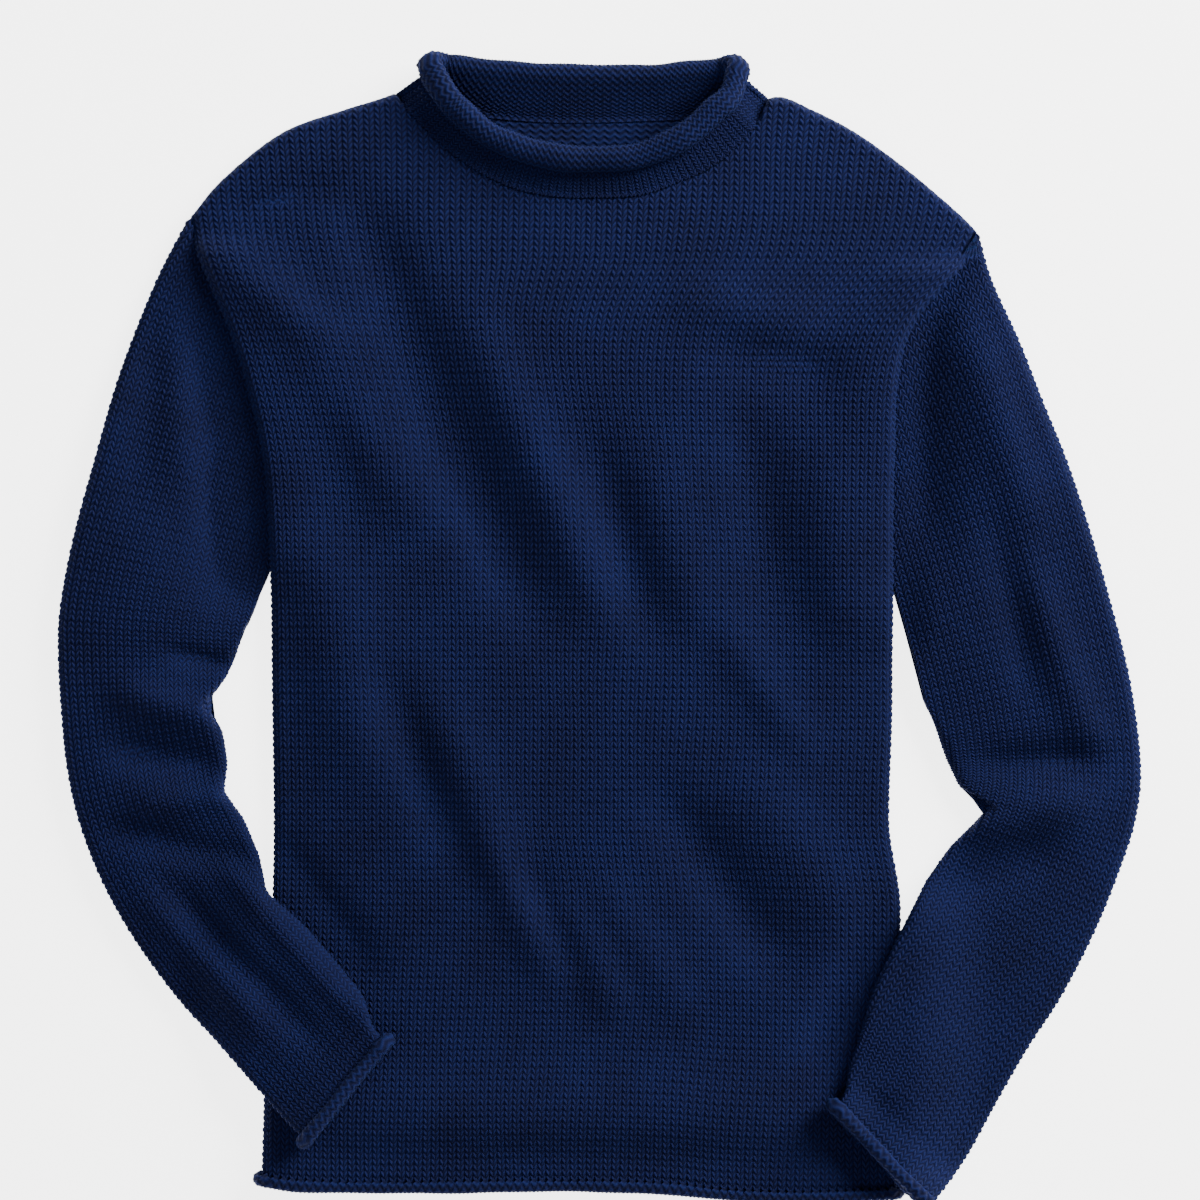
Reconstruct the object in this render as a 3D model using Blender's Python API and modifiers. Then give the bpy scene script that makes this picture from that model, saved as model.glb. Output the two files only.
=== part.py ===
"""Knitted cotton sweater with a rolled neck, laid flat on its back.

Front and back panels, two sleeves that bend at the elbow so that the cuffs lie on the front, and a short
collar whose edge rolls outwards. Metres, +Z up, +Y towards the neck, the origin under the middle of the
garment. The tables below are in millimetres.
"""

import bpy
import numpy as np

MM = 0.001
SEAM = 0.3          # gap that keeps sewn pieces apart
CLOTH = 3.0         # thickness of the knit
SIDE_SEAM = 4.9     # height of the side and shoulder seams above the surface
FRONT_FLAT = 10.6   # height of the front panel near its sides
FRONT_CROWN = 3.6   # how much more it stands in the middle
CROWN_RISE = 90.0   # the crown comes in over this length above the hem
ARMHOLE_LIFT = 6.0  # the front panel stands this much higher where the sleeves join
SLEEVE_HEAD = 10.6  # height of a sleeve where it enters the armhole
HEAD_ROWS = 3.5     # table rows over which the curve of the armhole fades out down the sleeve
CUFF_ROWS = 1.6     # table rows over which a sleeve climbs onto its rolled cuff
ROUNDED = 0.9       # share of a sleeve's height that its rounded edges take
COLLAR_GAP = 1.1    # between the collar's foot and the neckline, where its wall leans back
COLLAR_CORNER_GAP = 0.9    # how much wider that is at the ends of the neckline
COLLAR_KNEE = 6.0   # the collar leaves its seam level and turns up within this length
TUCK = 4.5          # how far the sleeve head reaches under the front panel
ARMHOLE_GAP = 1.0   # between a sleeve head and the back panel, in plan
HEAD_CLEARANCE = 2.6   # extra room between the sleeve head's upper corner and the shoulder tip
FRONT_TURN = 6.5    # width of the front's turned edges in plan
BACK_TURN = 4.2     # the same of the back
CURL = 1.5          # inner radius of the rolled hem and cuffs
CURL_TURN = 275.0   # degrees that they roll through
ROLL = 4.5          # inner radius of the rolled neck
ROLL_TURN = 292.0
CURL_DROP = 2 * CURL + CLOTH   # how far a rolled edge stands off its panel
HEM_RISE = 38.0     # length over which the panels climb onto their rolled hem
OVERLAP_GAP = 1.5   # air between the front and the sleeves that lie on it
RAMP = 30.0         # a sleeve climbs onto the front over this width
RAMP_START = 4.0    # how far outside the ramp's width it begins

NAVY = (0.0065, 0.0135, 0.050, 1.0)
NAVY_INSIDE = (0.0055, 0.0115, 0.043, 1.0)
YARN_ROUGHNESS = 0.88


def columns(names, *rows):
    """A table as a dictionary: each name in `names` gives one column as an array."""
    values = np.array(rows, dtype=float)
    return {name: values[:, i] for i, name in enumerate(names.split())}


# Both sides of the body from hem to shoulder, at each height y.
BODY_SIDES = columns(
    "y left right",
    (-340, -205, 180),
    (-285, -204, 181),
    (-225, -201, 183),
    (-170, -199, 183),
    (-115, -198, 176),
    (-42, -199, 178),
    (36, -200, 178),
    (67, -201, 178),
    (109, -205, 179),
    (152, -215, 181),
    (188, -227, 192),
    (206, -235, 207),
    (223, -242, 222),
    (239, -247, 229),
    (291, -253, 237),
    (346, -259, 244),
)
LEFT_SHOULDER = columns("x y", (-253, 247), (-244, 258), (-237, 267), (-218, 285), (-191, 304), (-159, 316),
                        (-137, 323), (-125, 327))
RIGHT_SHOULDER = columns("x y", (103, 324), (109, 325), (130, 317), (155, 304), (182, 285), (204, 267),
                         (224, 249), (234, 238))
HEM = columns("x y", (-205, -333), (-182, -336), (-121, -337), (-31, -336), (46, -338), (73, -341),
              (122, -343), (182, -341))

# The neckline of the front, and where the collar sewn to it ends in its roll.
NECK_FRONT = columns(
    "x y rim_x rim_y rise",
    (-125, 327, -101, 341, 13),
    (-116, 316, -95, 328, 14),
    (-110, 310, -90, 321, 15),
    (-96, 296, -81, 312, 15),
    (-81, 284, -68, 301, 15),
    (-66, 275, -56, 295, 14),
    (-46, 267, -39, 289, 14),
    (-12, 263, -11, 285, 14),
    (21, 264, 17, 286, 14),
    (49, 273, 39, 293, 14),
    (68, 282, 55, 302, 15),
    (86, 297, 69, 315, 15),
    (97, 310, 78, 324, 14),
    (103, 324, 82, 339, 13),
)
NECK_BACK = columns(
    "x y rim_x rim_y rise",
    (-125, 327, -101, 341, 13),
    (-100, 319, -87, 340, 13),
    (-68, 314, -60, 337, 13),
    (-18, 311, -18, 334, 13),
    (25, 312, 25, 334, 13),
    (61, 314, 54, 336, 13),
    (88, 319, 73, 338, 13),
    (103, 324, 82, 339, 13),
)

# Soft folds: middle, half length, half width, bearing of the crest in degrees, height (below 0 in a trough).
FRONT_FOLDS = columns(
    "x y length width bearing height",
    (-182, 200, 55, 20, -38, 3.0),
    (-130, 237, 52, 15, -58, -3.0),
    (-100, 115, 79, 18, -69, 4.0),
    (-66, 127, 91, 13, -71, -3.5),
    (-24, 115, 85, 16, -71, 3.5),
    (55, 24, 49, 12, -65, -3.0),
    (88, 79, 79, 18, -80, 3.0),
    (100, 185, 33, 11, -30, 2.5),
    (-171, -36, 70, 14, -88, -2.5),
    (-118, -42, 85, 17, -80, 4.0),
    (-76, -67, 49, 11, -65, -3.0),
    (-45, -164, 73, 13, -55, -4.0),
    (25, -182, 49, 14, -35, 3.0),
    (88, -134, 79, 15, -58, -4.0),
    (128, -42, 39, 11, -62, -2.5),
    (-24, -252, 79, 12, -8, -2.0),
)
LEFT_SLEEVE_FOLDS = columns(
    "x y length width bearing height",
    (-239, -19, 24, 7, -10, -3.5),
    (-258, -46, 33, 10, -15, 4.0),
    (-264, -79, 33, 11, -8, -4.0),
    (-249, -103, 33, 9, 5, 2.5),
    (-252, -131, 46, 9, -12, -3.5),
    (-188, -182, 73, 11, -40, 2.5),
    (-215, -207, 67, 10, -38, -2.5),
    (-262, 127, 91, 16, 75, 3.0),
    (-226, 110, 75, 14, 78, -3.5),
)
RIGHT_SLEEVE_FOLDS = columns(
    "x y length width bearing height",
    (267, -76, 39, 9, 3, -4.0),
    (262, -113, 42, 12, 10, 4.0),
    (243, -152, 36, 12, 0, -2.5),
    (280, -6, 73, 12, -73, 3.0),
    (252, 18, 49, 11, -80, -2.5),
    (243, 127, 61, 12, -75, 3.0),
    (204, 150, 60, 13, -85, -3.5),
)

# Sleeve sections from the armhole to the cuff: the outer and the inner edge of the flattened tube, its
# height, and how much of the front panel it climbs onto.
LEFT_SLEEVE = columns(
    "outer_x outer_y inner_x inner_y height over",
    (-250, 251, -200, 36, 10.6, 0),
    (-270, 212, -206, 25, 14, 0),
    (-291, 158, -210, 12, 18, 0),
    (-307, 103, -216, 0, 20, 0),
    (-320, 55, -221, -16, 20, 0),
    (-328, 12, -227, -30, 19, 0),
    (-329, -18, -239, -46, 17, 0),
    (-327, -52, -229, -63, 17, 0),
    (-324, -82, -226, -82, 17, 0),
    (-317, -115, -228, -99, 16, 0),
    (-303, -152, -216, -116, 15, 0),
    (-283, -188, -206, -138, 14, 0.5),
    (-256, -225, -201, -160, 13, 1),
    (-233, -249, -179, -179, 12, 1),
    (-215, -268, -158, -203, 12, 1),
    (-194, -291, -139, -226, 11, 1),
    (-177, -307, -129, -248, 10.5, 1),
)
RIGHT_SLEEVE = columns(
    "outer_x outer_y inner_x inner_y height over",
    (232, 238, 178, -1, 10.6, 0),
    (239, 212, 181, -8, 14, 0),
    (255, 176, 185, -18, 18, 0),
    (269, 140, 191, -29, 20, 0),
    (284, 103, 197, -42, 20, 0),
    (298, 61, 204, -58, 19, 0),
    (312, 12, 210, -77, 18, 0),
    (323, -33, 219, -97, 17, 0),
    (329, -82, 238, -107, 17, 0),
    (326, -115, 226, -120, 16, 0),
    (316, -147, 212, -134, 15, 0),
    (301, -184, 197, -154, 14, 0.5),
    (281, -223, 178, -190, 13, 1),
    (261, -254, 164, -220, 12, 1),
    (243, -285, 156, -249, 12, 1),
    (222, -322, 147, -274, 11, 1),
    (199, -347, 142, -287, 10.5, 1),
)


def ease(t):
    """0 to 1 with level ends."""
    t = np.clip(t, 0.0, 1.0)
    return t * t * (3.0 - 2.0 * t)


def through(knots, values, x):
    """A smooth curve through a table that keeps level where the table does (monotone cubic)."""
    steps = np.diff(knots)
    slopes = np.diff(values) / steps
    tangents = np.concatenate([slopes[:1], (slopes[:-1] + slopes[1:]) / 2, slopes[-1:]])
    limit = 3 * np.minimum(np.abs(slopes[:-1]), np.abs(slopes[1:])) * (slopes[:-1] * slopes[1:] > 0)
    tangents[1:-1] = np.clip(tangents[1:-1], -limit, limit)
    i = np.clip(np.searchsorted(knots, x) - 1, 0, len(steps) - 1)
    t = np.clip((x - knots[i]) / steps[i], 0.0, 1.0)
    rise = values[i + 1] - values[i]
    bend = (1 - t) * (tangents[i] * steps[i] - rise) - t * (tangents[i + 1] * steps[i] - rise)
    return values[i] + rise * t + t * (1 - t) * bend


def along(values, row):
    """A smooth curve through table rows (Catmull-Rom); `row` counts rows and may lie between them."""
    values = np.asarray(values, dtype=float)
    ends = [2 * values[0] - values[1], *values, 2 * values[-1] - values[-2]]
    padded = np.array(ends)
    i = np.clip(np.floor(row).astype(int), 0, len(values) - 2)
    t = row - i
    a, b, c, d = (padded[i + k] for k in range(4))
    return b + t * (c - a + t * (2 * a - 5 * b + 4 * c - d + t * (3 * b - a - 3 * c + d))) / 2


def folds(table, x, y):
    """Sum of the soft ridges and troughs of a table at points x, y."""
    total = np.zeros_like(x, dtype=float)
    for k in range(len(table["x"])):
        bearing = np.radians(table["bearing"][k])
        east = x - table["x"][k]
        north = y - table["y"][k]
        lengthways = (east * np.cos(bearing) + north * np.sin(bearing)) / table["length"][k]
        across = (north * np.cos(bearing) - east * np.sin(bearing)) / table["width"][k]
        total += table["height"][k] * np.exp(-lengthways ** 4 - across ** 2)
    return total


# ---- the body panels ----

ARMPIT = {"left": 36.0, "right": -1.0}
SHOULDER_TIP = {"left": 251.0, "right": 238.0}
ARMHOLE_EASE = 18.0
NECK_LEFT = NECK_FRONT["x"][0]
NECK_RIGHT = NECK_FRONT["x"][-1]
NECK_EASE = 11.0     # the neckline leaves the height of the shoulder seam over this width
NECK_POINT_ROOM = 1.0      # extra half gap where shoulder seam and collar meet
NECK_POINT_WIDTH = 16.0
LEAN_ROOM = 0.1            # what the lean of the turned edges takes from half the gap


def left_side(y):
    return through(BODY_SIDES["y"], BODY_SIDES["left"], y)


def right_side(y):
    return through(BODY_SIDES["y"], BODY_SIDES["right"], y)


def across_body(u, y):
    """x of the stitch column u (-1 at the left side, 1 at the right) at height y."""
    return left_side(y) * (1 - u) / 2 + right_side(y) * (1 + u) / 2


def column_of(x, y):
    """The stitch column that passes through a point."""
    return (2 * x - left_side(y) - right_side(y)) / (right_side(y) - left_side(y))


def hem_line(x):
    return through(HEM["x"], HEM["y"], x)


def top_line(x, neck):
    """The panel's upper edge: the left shoulder, the neckline of its own table, the right shoulder."""
    y = through(neck["x"], neck["y"], x)
    y = np.where(x < NECK_LEFT, through(LEFT_SHOULDER["x"], LEFT_SHOULDER["y"], x), y)
    return np.where(x > NECK_RIGHT, through(RIGHT_SHOULDER["x"], RIGHT_SHOULDER["y"], x), y)


def armhole(y, u):
    """1 beside a sleeve head and 0 below the armpit and at the shoulder tip."""
    windows = []
    for side in ("left", "right"):
        opening = ease((y - ARMPIT[side] - 4) / ARMHOLE_EASE)
        windows.append(opening * ease((SHOULDER_TIP[side] - 6 - y) / ARMHOLE_EASE))
    return np.where(u < 0, windows[0], windows[1])


def outside_neck(x):
    """1 along the shoulders, fading to 0 along the neckline."""
    inside = np.minimum(x - NECK_LEFT, NECK_RIGHT - x)
    return 1 - ease(inside / NECK_EASE)


def hem_climb(x, y):
    """Height that the panels gain as they climb onto the rolled hem of the back."""
    return CURL_DROP * ease((hem_line(x) + HEM_RISE - y) / HEM_RISE)


def front_surface(x, y):
    """Upper face of the front panel before its edges turn down."""
    u = np.clip(column_of(x, y), -1, 1)
    crown = FRONT_CROWN * (1 - u ** 4) * ease((y - hem_line(x)) / CROWN_RISE)
    sleeve_room = ARMHOLE_LIFT * armhole(y, u) * ease((np.abs(u) - 0.70) / 0.25)
    return FRONT_FLAT + crown + sleeve_room + hem_climb(x, y) + folds(FRONT_FOLDS, x, y) * ease(
        (y - hem_line(x)) / HEM_RISE)


EDGE_TURNS = (0.0, 0.0, 30.0, 60.0, 90.0)   # degrees round a turned edge, nearly upright at its foot
LAND = 0.2                                  # share of a turned edge's height that is nearly upright
LEAN = 0.02                                 # how far it leans over that height
PANEL_ROWS = 20                             # rows of both panels between their dense ends
SHOULDER_CELLS = 4                          # columns of both panels along a shoulder
CORNER_CROWDING = 0.8                       # how far the neckline's columns crowd to its ends
HALF_WIDTH = 200.0                          # half the body's width, which turns widths into stitch columns


def edge_reach(width):
    """Distances from a panel's edge of the points round its turn."""
    reach = width * (1 - np.cos(np.radians(EDGE_TURNS)))
    reach[1] = LEAN
    return reach


def edge_height(width):
    """Share of the panel's height at the same points."""
    height = LAND + (1 - LAND) * np.sin(np.radians(EDGE_TURNS))
    height[0] = 0.0
    return height


def body_columns(width, neck_cells):
    """Stitch columns of a panel, close together at its sides and with one at each end of the neckline.

    The second array is the share of the panel's height that each column reaches at the sides.
    """
    left_neck = column_of(NECK_LEFT, NECK_FRONT["y"][0])
    right_neck = column_of(NECK_RIGHT, NECK_FRONT["y"][-1])
    reach = edge_reach(width) / HALF_WIDTH
    left = np.linspace(-1 + reach[-1], left_neck, SHOULDER_CELLS + 1)
    share = np.linspace(0, 1, neck_cells + 1)
    share = (1 - CORNER_CROWDING) * share + CORNER_CROWDING * (1 - np.cos(np.pi * share)) / 2
    middle = left_neck + (right_neck - left_neck) * share
    right = np.linspace(right_neck, 1 - reach[-1], SHOULDER_CELLS + 1)
    u = np.concatenate([-1 + reach[:-1], left, middle[1:-1], right, (1 - reach[:-1])[::-1]])
    share = np.ones_like(u)
    share[:len(reach)] = edge_height(width)
    share[-len(reach):] = edge_height(width)[::-1]
    return u, share


def panel_plan(u, width, neck, cells):
    """Plan of a panel: each column from the hem to the upper edge, closer together at both ends.

    The last array is the share of the panel's height that each row reaches at the shoulders.
    """
    foot = np.full_like(u, -330.0)
    top = np.full_like(u, 280.0)
    for _ in range(12):
        foot = hem_line(across_body(u, foot))
        top = top_line(across_body(u, top), neck)
    low = np.array([0.0, 6.0, 18.0])[:, None]
    reach = edge_reach(width)
    upright = width * LAND * (1 - outside_neck(across_body(u, top)))
    slope = (top_line(across_body(u, top) + 1, neck) - top_line(across_body(u, top) - 1, neck)) / 2
    steep = 1 + (np.sqrt(1 + slope ** 2) - 1) * outside_neck(across_body(u, top))
    down = reach[:, None] * steep + upright
    down[0] = 0.0
    start = foot + HEM_RISE
    end = top - down[-1]
    between = np.linspace(0, 1, cells + 1)[:, None]
    y = np.vstack([foot + low, start + (end - start) * between, top - down[-2::-1]])
    share = np.ones(len(y))
    share[-len(reach):] = edge_height(width)[::-1]
    return across_body(u, y), y, share[:, None]


def turned_edges(x, side_share, top_share):
    """Share of the panel's height at each point, with the neckline left standing."""
    return np.minimum(side_share, 1 - outside_neck(x) * (1 - top_share))


def beside_neck(x):
    """1 at the two ends of the neckline, fading out to both sides."""
    left = np.exp(-((x - NECK_LEFT) / NECK_POINT_WIDTH) ** 2)
    return left + np.exp(-((x - NECK_RIGHT) / NECK_POINT_WIDTH) ** 2)


def seam_room(x):
    """Half of the gap between front and back at their seam."""
    return SEAM / 2 + LEAN_ROOM + NECK_POINT_ROOM * beside_neck(x)


def front_panel():
    """Outer face of the front, from the hem up. Its sides, shoulders and armholes turn down to the seams."""
    u, side_share = body_columns(FRONT_TURN, neck_cells=14)
    x, y, top_share = panel_plan(u, FRONT_TURN, NECK_FRONT, PANEL_ROWS)
    ground = SIDE_SEAM + seam_room(x) + hem_climb(x, y)
    ground = ground + (SLEEVE_HEAD + SEAM - SIDE_SEAM) * armhole(y, u + 0 * y)
    z = ground + (front_surface(x, y) - ground) * turned_edges(x, side_share, top_share)
    return u, np.dstack([x, y, z])


def back_panel():
    """Outer face of the back, which lies on the surface. Its sides and shoulders turn up to their seams."""
    u, side_share = body_columns(BACK_TURN, neck_cells=10)
    x, y, top_share = panel_plan(u, BACK_TURN, NECK_BACK, PANEL_ROWS)
    z = hem_climb(x, y) + (SIDE_SEAM - seam_room(x)) * (1 - turned_edges(x, side_share, top_share))
    return u, np.dstack([x, y, z])


def curl(edge, onward, outward, radius, turn, steps):
    """Rows of a rolled edge: an arc from `edge` that goes on in `onward` and turns over to `outward`."""
    rows = []
    for k in range(1, steps + 1):
        angle = np.radians(turn * k / steps)
        rows.append(edge + radius * (outward * (1 - np.cos(angle)) + onward * np.sin(angle)))
    return np.array(rows)


def rolled_hem(grid, u, facing):
    """Adds the rolled hem below a panel's first row. `facing` is 1 for the front and -1 for the back."""
    turn = np.full_like(u, 90.0)
    turn[:len(EDGE_TURNS)] = EDGE_TURNS
    turn[-len(EDGE_TURNS):] = EDGE_TURNS[::-1]
    turn = np.radians(turn)[:, None]
    sideways = np.sign(u)[:, None] * np.cos(turn)
    outward = np.hstack([sideways, 0 * turn, facing * np.sin(turn)])
    onward = np.array([0.0, -1.0, 0.0])
    rows = curl(grid[0], onward, outward, CURL, CURL_TURN, steps=7)
    return np.concatenate([rows[::-1], grid])


# ---- the sleeves ----

def body_cover(x, y, side):
    """Height of what a sleeve rests on: the surface beside the body, then the front and its rolled hem."""
    height = front_surface(x, y)
    below = hem_line(x) - y
    height = height + CURL_DROP * ease((20 - np.abs(below)) / 12)
    height = height * (1 - ease((below - 12) / 28))
    if side == "left":
        return (height + OVERLAP_GAP) * ease((x - left_side(y) + RAMP + RAMP_START) / RAMP)
    return (height + OVERLAP_GAP) * ease((right_side(y) + RAMP + RAMP_START - x) / RAMP)


def sleeve_ring(width, height, top_cells, bottom_cells):
    """Distance from the outer edge and turn (-90 underneath, 90 on top) of the points round a sleeve."""
    arc = np.array([-60.0, -30.0, 0.0, 30.0, 60.0])
    radius = height / 2
    near = radius * (1 - np.cos(np.radians(arc)))
    top = np.linspace(radius, width - radius, top_cells + 1)
    bottom = np.linspace(width - radius, radius, bottom_cells + 1)
    distance = np.concatenate([near, top, (width - near)[::-1], bottom])
    turn = np.concatenate([arc, 0 * top + 90, arc[::-1], 0 * bottom - 90])
    return distance, turn


def sleeve(sections, fold_table, side, body_edge):
    """Outer face of a sleeve: flattened rings from the armhole to the cuff, ending in its rolled edge.

    `body_edge` holds the points of the back panel's side, which the sleeve's head follows.
    """
    last = len(sections["height"]) - 1
    places = [0.0, 0.2, 0.5, 1.0, 1.6, 2.3, 3.0, 4.0, 5.0, 5.5, 6.0, 6.5, 7.0, 7.5, 8.0, 8.5, 9.0, 10.0,
              11.0, 12.0, 13.0, 14.0, 15.0, 15.5, 16.0]
    into_body = 1.0 if side == "left" else -1.0
    rings = []
    for place in places:
        row = np.array(place)
        outer = np.array([along(sections["outer_x"], row), along(sections["outer_y"], row)])
        inner = np.array([along(sections["inner_x"], row), along(sections["inner_y"], row)])
        chord = inner - outer
        width = float(np.hypot(*chord))
        distance, turn = sleeve_ring(width, float(along(sections["height"], row)) * ROUNDED, 7, 5)
        w = np.clip(distance / width, 0, 1)
        plan = outer + chord * w[:, None]

        # The armhole is curved, and the curve fades out down the sleeve.
        start = np.array([sections["outer_x"][0], sections["outer_y"][0]])
        finish = np.array([sections["inner_x"][0], sections["inner_y"][0]])
        straight = start + (finish - start) * w[:, None]
        edge = np.interp(straight[:, 1], body_edge[:, 1], body_edge[:, 0])
        clear = ARMHOLE_GAP + HEAD_CLEARANCE * (1 - ease(w / 0.12))
        bow = edge - straight[:, 0] - into_body * clear
        plan[:, 0] += bow * (1 - ease(place / HEAD_ROWS))

        # The upper layer of the head is tucked under the front panel.
        if place == 0.0:
            open_part = ease((w - 0.2) / 0.08) * ease((0.8 - w) / 0.08)
            plan[:, 0] += into_body * (TUCK + SEAM) * open_part * (turn > 0)

        x, y = plan[:, 0], plan[:, 1]
        grown = ease((place - 0.2) / 1.2)
        dome = 0.82 + 0.18 * np.sin(np.pi * w)
        full = along(sections["height"], row) * dome + folds(fold_table, x, y)
        height = SLEEVE_HEAD + (full - SLEEVE_HEAD) * grown
        lift = CURL_DROP * ease((place - last + CUFF_ROWS) / CUFF_ROWS)
        floor = along(sections["over"], row) * body_cover(x, y, side) + lift
        z = floor + height * (1 + np.sin(np.radians(turn))) / 2
        rings.append(np.column_stack([x, y, z]))
    grid = np.array(rings)
    onward = grid[-1] - grid[-2]
    onward[:, 2] = 0
    onward /= np.linalg.norm(onward, axis=1)[:, None]
    around = np.roll(grid[-1], -1, axis=0) - np.roll(grid[-1], 1, axis=0)
    outward = np.cross(onward, around) * (1 if side == "left" else -1)
    outward /= np.linalg.norm(outward, axis=1)[:, None]
    rows = curl(grid[-1], onward, outward, CURL, CURL_TURN, steps=7)
    return np.concatenate([grid, rows])


# ---- the collar ----

def neckline(panel, u, neck):
    """Points along a panel's neckline, those of its own edge and one between each two, left to right."""
    first = int(np.argmin(np.abs(u - column_of(NECK_LEFT, NECK_FRONT["y"][0]))))
    last = int(np.argmin(np.abs(u - column_of(NECK_RIGHT, NECK_FRONT["y"][-1]))))
    edge = panel[-1, first:last + 1]
    foot = np.empty((2 * len(edge) - 1, 3))
    foot[::2] = edge
    foot[1::2] = (edge[1:] + edge[:-1]) / 2
    rim = [through(neck["x"], neck[name], foot[:, 0]) for name in ("rim_x", "rim_y", "rise")]
    return foot, np.column_stack([rim[0], rim[1], rim[2] + foot[:, 2]])


def collar(front, front_columns, back, back_columns):
    """Outer face of the collar: from the neck seam up to its rim, then rolled outwards, all round."""
    front_foot, front_rim = neckline(front, front_columns, NECK_FRONT)
    back_foot, back_rim = neckline(back, back_columns, NECK_BACK)
    foot = np.concatenate([front_foot[:-1], back_foot[:0:-1]])
    rim = np.concatenate([front_rim[:-1], back_rim[:0:-1]])
    level = (rim - foot) * [1, 1, 0]
    level /= np.linalg.norm(level, axis=1)[:, None]
    foot = foot + level * (COLLAR_GAP + COLLAR_CORNER_GAP * beside_neck(foot[:, :1]))
    knee = foot + level * COLLAR_KNEE
    wall = [foot * (1 - t) ** 2 + 2 * knee * t * (1 - t) + rim * t ** 2 for t in np.linspace(0, 1, 5)]
    grid = np.array(wall)
    onward = rim - knee
    onward /= np.linalg.norm(onward, axis=1)[:, None]
    around = np.roll(rim, -1, axis=0) - np.roll(rim, 1, axis=0)
    outward = np.cross(around, onward)
    outward /= np.linalg.norm(outward, axis=1)[:, None]
    rows = curl(rim, onward, outward, ROLL, ROLL_TURN, steps=9)
    return np.concatenate([grid, rows])


# ---- meshes ----

def yarn(name, colour):
    material = bpy.data.materials.new(name)
    material.use_nodes = True
    shader = material.node_tree.nodes["Principled BSDF"]
    shader.inputs["Base Color"].default_value = colour
    shader.inputs["Roughness"].default_value = YARN_ROUGHNESS
    shader.inputs["Metallic"].default_value = 0.0
    return material


def cloth_piece(name, grid, closed, colour, collection, parent):
    """A wall of knit whose outer face is the grid. A closed grid joins its last column to its first."""
    count, width = grid.shape[:2]
    reach = width if closed else width - 1
    faces = []
    for i in range(count - 1):
        for j in range(reach):
            k = (j + 1) % width
            faces.append((i * width + j, i * width + k, (i + 1) * width + k, (i + 1) * width + j))
    mesh = bpy.data.meshes.new(name)
    mesh.from_pydata((grid.reshape(-1, 3) * MM).tolist(), [], faces)
    mesh.shade_smooth()
    mesh.materials.append(yarn(name + "_yarn", colour))
    piece = bpy.data.objects.new(name, mesh)
    collection.objects.link(piece)
    piece.parent = parent
    wall = piece.modifiers.new("Wall", "SOLIDIFY")
    wall.thickness = CLOTH * MM
    wall.offset = -1.0
    wall.use_quality_normals = True
    return piece


def build():
    for thing in list(bpy.data.objects):
        bpy.data.objects.remove(thing)
    collection = bpy.data.collections.new("roll_neck_sweater")
    bpy.context.scene.collection.children.link(collection)
    origin = bpy.data.objects.new("sweater_origin", None)
    collection.objects.link(origin)

    columns_of_front, front = front_panel()
    columns_of_back, back = back_panel()
    neck = collar(front, columns_of_front, back, columns_of_back)
    left = sleeve(LEFT_SLEEVE, LEFT_SLEEVE_FOLDS, "left", back[:, 0])
    right = sleeve(RIGHT_SLEEVE, RIGHT_SLEEVE_FOLDS, "right", back[:, -1])
    front = rolled_hem(front, columns_of_front, 1)
    back = rolled_hem(back, columns_of_back, -1)
    cloth_piece("front", front, False, NAVY, collection, origin)
    cloth_piece("back", back[:, ::-1], False, NAVY, collection, origin)
    cloth_piece("sleeve_left", left[:, ::-1], True, NAVY, collection, origin)
    cloth_piece("sleeve_right", right, True, NAVY, collection, origin)
    cloth_piece("collar", neck, True, NAVY_INSIDE, collection, origin)


build()
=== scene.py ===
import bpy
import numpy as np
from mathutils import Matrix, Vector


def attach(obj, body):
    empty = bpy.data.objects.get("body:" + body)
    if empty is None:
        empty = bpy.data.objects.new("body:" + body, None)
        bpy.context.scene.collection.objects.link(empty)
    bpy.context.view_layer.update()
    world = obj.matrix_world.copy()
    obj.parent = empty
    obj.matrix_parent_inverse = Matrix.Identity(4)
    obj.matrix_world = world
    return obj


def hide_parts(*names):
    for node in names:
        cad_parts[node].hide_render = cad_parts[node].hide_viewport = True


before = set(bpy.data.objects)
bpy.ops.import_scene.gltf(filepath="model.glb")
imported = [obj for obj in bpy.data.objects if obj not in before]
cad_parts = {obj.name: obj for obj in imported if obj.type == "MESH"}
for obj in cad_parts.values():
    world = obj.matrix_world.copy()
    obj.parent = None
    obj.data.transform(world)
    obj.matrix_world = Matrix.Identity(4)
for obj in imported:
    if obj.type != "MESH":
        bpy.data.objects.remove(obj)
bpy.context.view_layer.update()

# Roll-neck sweater laid flat: the knit of each piece, stitch by stitch, on the form of its solid.
# Lengths are millimetres and angles degrees, up to the mesh. The knit runs in wales (columns, w) and
# courses (rows, c), so that (w, c) is a place in the cloth.

mm = 0.001

stitch = dict(
    wale=4.95, course=3.67,             # one stitch across and up
    thick=3.0,                          # of the wall of knit
    chevron=0.9,                        # courses that a V rises from the middle of its wale to the sides
    legLow=0.3, bridge=0.25, edge=0.3,  # relief of a leg between courses, between the legs, beside the wale
    uneven=0.3,                         # share by which single stitches differ in height
    purlSwing=0.22, purlLow=0.72,       # courses that the wrong side's bumps wave, and their mean height
    purlDepth=0.9,                      # relief of the wrong side
    sunk=0.35,                          # share of the relief that lies below the form
    inside=2.5,                         # the inner face lies this far under the form
    curlCalm=0.2)                       # share of the relief that shows on a curled edge
halfThick = stitch["thick"] / 2


def table(names, *rows):
    # each name gives one column of the rows
    values = np.array(rows, dtype=float)
    return {name: values[:, i] for i, name in enumerate(names.split())}


def ease(t):
    # 0 to 1 with level ends: t squared times (3 - 2t)
    t = np.clip(t, 0.0, 1.0)
    return t * t * (3.0 - 2.0 * t)


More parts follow.
